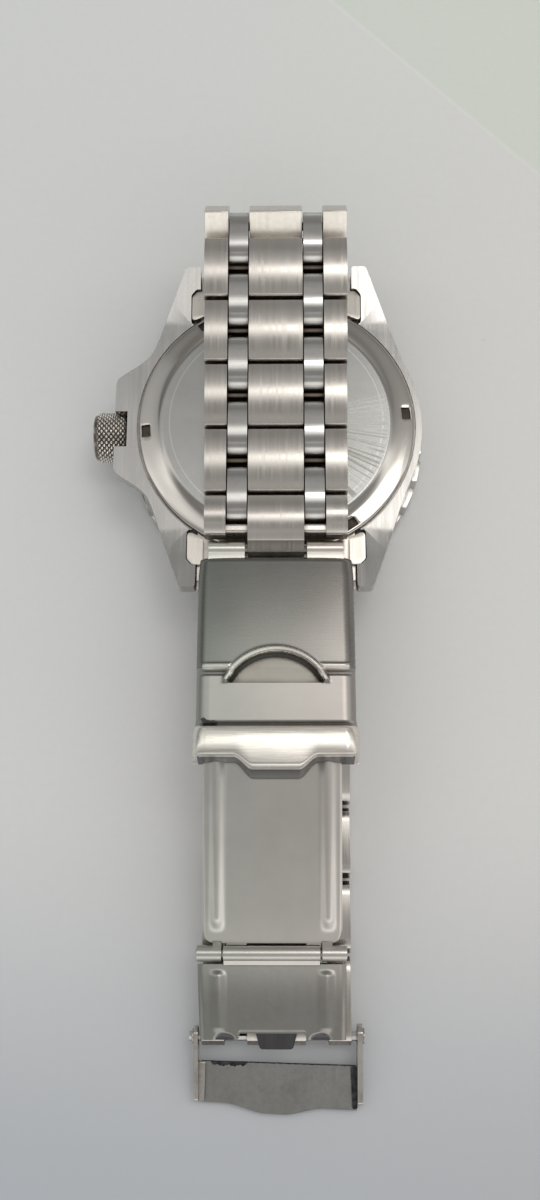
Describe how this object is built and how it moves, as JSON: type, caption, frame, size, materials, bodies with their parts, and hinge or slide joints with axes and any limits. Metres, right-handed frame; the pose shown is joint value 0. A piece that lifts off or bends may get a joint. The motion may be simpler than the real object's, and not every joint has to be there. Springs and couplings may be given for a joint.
{
  "type": "dive watch",
  "caption": "Steel dive watch lying face down on its link bracelet, with rotating bezel, screw crown, screw case back and an open fold-over clasp with safety flap.",
  "frame": {"origin": "centre of the crystal's flat outer face, on the axis of the round case", "axes": "+Z from the crystal to the case back (the watch lies face down), +Y to the 12 o'clock lugs, crown on -X"},
  "size_m": [0.0475, 0.1232, 0.0185],
  "materials": {
    "brushed_steel": "directionally brushed stainless steel, light wear",
    "polished_steel": "polished stainless steel, fine scratches, grime in the joints",
    "satin_steel": "satin stainless steel with scratches",
    "worn_steel": "worn, dull stainless steel",
    "glass": "clear mineral crystal",
    "black_insert": "semi-gloss black",
    "dial_black": "satin near-black lacquer",
    "rubber": "matt",
    "brass": "plain machined",
    "holder_plastic": "moulded",
    "circuit_green": "laminate",
    "copper": "enamelled copper winding"
  },
  "bodies": {
    "watch_head": {"mid_case": "satin_steel", "case_back": "satin_steel", "case_back_gasket": "rubber", "movement_holder": "holder_plastic", "crystal": "glass", "crystal_gasket": "rubber", "chapter_ring": "dial_black", "dial": "dial_black", "movement_plate": "brass", "battery": "polished_steel", "drive_coil": "copper", "circuit_block": "circuit_green", "crown_tube": "polished_steel", "end_link_12": "brushed_steel", "end_link_6": "brushed_steel", "spring_bar_12": "polished_steel", "spring_bar_6": "polished_steel", "bezel_click_spring": "polished_steel"},
    "bezel_assembly": {"bezel": "polished_steel", "bezel_insert": "black_insert"},
    "crown_carrier": {"crown_gasket": "rubber"},
    "crown_assembly": {"crown": "polished_steel", "winding_stem": "polished_steel"},
    "hours": {"hour_hand": "polished_steel", "hour_wheel": "brass"},
    "minutes": {"minute_hand": "polished_steel", "centre_wheel": "brass"},
    "seconds": {"seconds_hand": "polished_steel", "seconds_wheel": "brass"},
    "side1_link_1": {"s1_link_1": "brushed_steel", "s1_mid_1": "polished_steel"},
    "side1_link_2": {"s1_link_2": "brushed_steel", "s1_mid_2": "polished_steel"},
    "side1_link_3": {"s1_link_3": "brushed_steel", "s1_mid_3": "polished_steel"},
    "side1_link_4": {"s1_link_4": "brushed_steel", "s1_mid_4": "polished_steel"},
    "side1_link_5": {"s1_link_5": "brushed_steel", "s1_mid_5": "polished_steel"},
    "side1_link_6": {"s1_link_6": "brushed_steel", "s1_mid_6": "polished_steel"},
    "side2_link_1": {"s2_link_1": "brushed_steel", "s2_mid_1": "polished_steel"},
    "side2_link_2": {"s2_link_2": "brushed_steel", "s2_mid_2": "polished_steel"},
    "side2_link_3": {"s2_link_3": "brushed_steel", "s2_mid_3": "polished_steel"},
    "side2_link_4": {"s2_link_4": "brushed_steel", "s2_mid_4": "polished_steel"},
    "side2_link_5": {"s2_link_5": "brushed_steel", "s2_mid_5": "polished_steel"},
    "side2_link_6": {"s2_link_6": "brushed_steel", "s2_mid_6": "polished_steel", "flap_pin": "polished_steel"},
    "cover": {"clasp_cover": "satin_steel", "cover_pin": "polished_steel"},
    "blade": {"clasp_blade": "satin_steel", "blade_pin": "polished_steel"},
    "end_plate": {"clasp_end_plate": "satin_steel"},
    "flap": {"safety_flap": "worn_steel"}
  },
  "joints": [
    {"name": "bezel_turn", "type": "hinge", "parent": "watch_head", "child": "bezel_assembly", "pos_m": [0, 0, 0], "axis": [0, 0, 1], "continuous": true},
    {"name": "crown_pull", "type": "slide", "parent": "watch_head", "child": "crown_carrier", "axis": [-1, 0, 0], "range_m": [0, 0.002]},
    {"name": "crown_turn", "type": "hinge", "parent": "crown_carrier", "child": "crown_assembly", "pos_m": [-0.024, 0, 0.006], "axis": [-1, 0, 0], "continuous": true},
    {"name": "seconds_turn", "type": "hinge", "parent": "watch_head", "child": "seconds", "pos_m": [0, 0, 0.0033], "axis": [0, 0, 1], "continuous": true},
    {"name": "minutes_turn", "type": "hinge", "parent": "watch_head", "child": "minutes", "pos_m": [0, 0, 0.0037], "axis": [0, 0, 1], "continuous": true},
    {"name": "hours_turn", "type": "hinge", "parent": "watch_head", "child": "hours", "pos_m": [0, 0, 0.0041], "axis": [0, 0, 1], "continuous": true},
    {"name": "side1_first_link_hinge", "type": "hinge", "parent": "watch_head", "child": "side1_link_1", "pos_m": [0, 0.0219, 0.0089], "axis": [-1, 0, 0], "range_deg": [0, 50]},
    {"name": "side1_fold_hinge", "type": "hinge", "parent": "side1_link_1", "child": "side1_link_2", "pos_m": [0, 0.02857, 0.01581], "axis": [-1, 0, 0], "range_deg": [0, 130]},
    {"name": "side1_hinge_3", "type": "hinge", "parent": "side1_link_2", "child": "side1_link_3", "pos_m": [0, 0.01897, 0.01555], "axis": [-1, 0, 0], "range_deg": [0, 8]},
    {"name": "side1_hinge_4", "type": "hinge", "parent": "side1_link_3", "child": "side1_link_4", "pos_m": [0, 0.00939, 0.01497], "axis": [-1, 0, 0], "range_deg": [0, 8]},
    {"name": "side1_hinge_5", "type": "hinge", "parent": "side1_link_4", "child": "side1_link_5", "pos_m": [0, -0.00019, 0.01438], "axis": [-1, 0, 0], "range_deg": [0, 6]},
    {"name": "side1_hinge_6", "type": "hinge", "parent": "side1_link_5", "child": "side1_link_6", "pos_m": [0, -0.00979, 0.01413], "axis": [-1, 0, 0], "range_deg": [0, 6]},
    {"name": "side2_first_link_hinge", "type": "hinge", "parent": "watch_head", "child": "side2_link_1", "pos_m": [0, -0.0219, 0.0089], "axis": [-1, 0, 0], "range_deg": [-3, 0]},
    {"name": "side2_hinge_2", "type": "hinge", "parent": "side2_link_1", "child": "side2_link_2", "pos_m": [0, -0.03138, 0.0074], "axis": [-1, 0, 0], "range_deg": [-6, 0]},
    {"name": "side2_hinge_3", "type": "hinge", "parent": "side2_link_2", "child": "side2_link_3", "pos_m": [0, -0.04074, 0.00524], "axis": [-1, 0, 0], "range_deg": [-8, 0]},
    {"name": "side2_hinge_4", "type": "hinge", "parent": "side2_link_3", "child": "side2_link_4", "pos_m": [0, -0.05007, 0.003], "axis": [-1, 0, 0], "range_deg": [-18, 0]},
    {"name": "side2_hinge_5", "type": "hinge", "parent": "side2_link_4", "child": "side2_link_5", "pos_m": [0, -0.05967, 0.003], "axis": [-1, 0, 0], "range_deg": [-8, 0]},
    {"name": "side2_hinge_6", "type": "hinge", "parent": "side2_link_5", "child": "side2_link_6", "pos_m": [0, -0.06927, 0.003], "axis": [-1, 0, 0], "range_deg": [-8, 0]},
    {"name": "cover_hinge", "type": "hinge", "parent": "side1_link_6", "child": "cover", "pos_m": [0, -0.0199, 0.01412], "axis": [-1, 0, 0], "range_deg": [0, 45]},
    {"name": "blade_hinge", "type": "hinge", "parent": "cover", "child": "blade", "pos_m": [0, -0.0452, 0.0137], "axis": [-1, 0, 0], "range_deg": [0, 8]},
    {"name": "end_plate_hinge", "type": "hinge", "parent": "blade", "child": "end_plate", "pos_m": [0, -0.0718, 0.0066], "axis": [-1, 0, 0], "range_deg": [0, 150]},
    {"name": "safety_flap_hinge", "type": "hinge", "parent": "side2_link_6", "child": "flap", "pos_m": [0, -0.082, 0.003], "axis": [-1, 0, 0], "range_deg": [0, 140]}
  ],
  "couplings": [
    {"joint": "minutes_turn", "follows": "seconds_turn", "ratio": 0.016667},
    {"joint": "hours_turn", "follows": "seconds_turn", "ratio": 0.0013889}
  ]
}
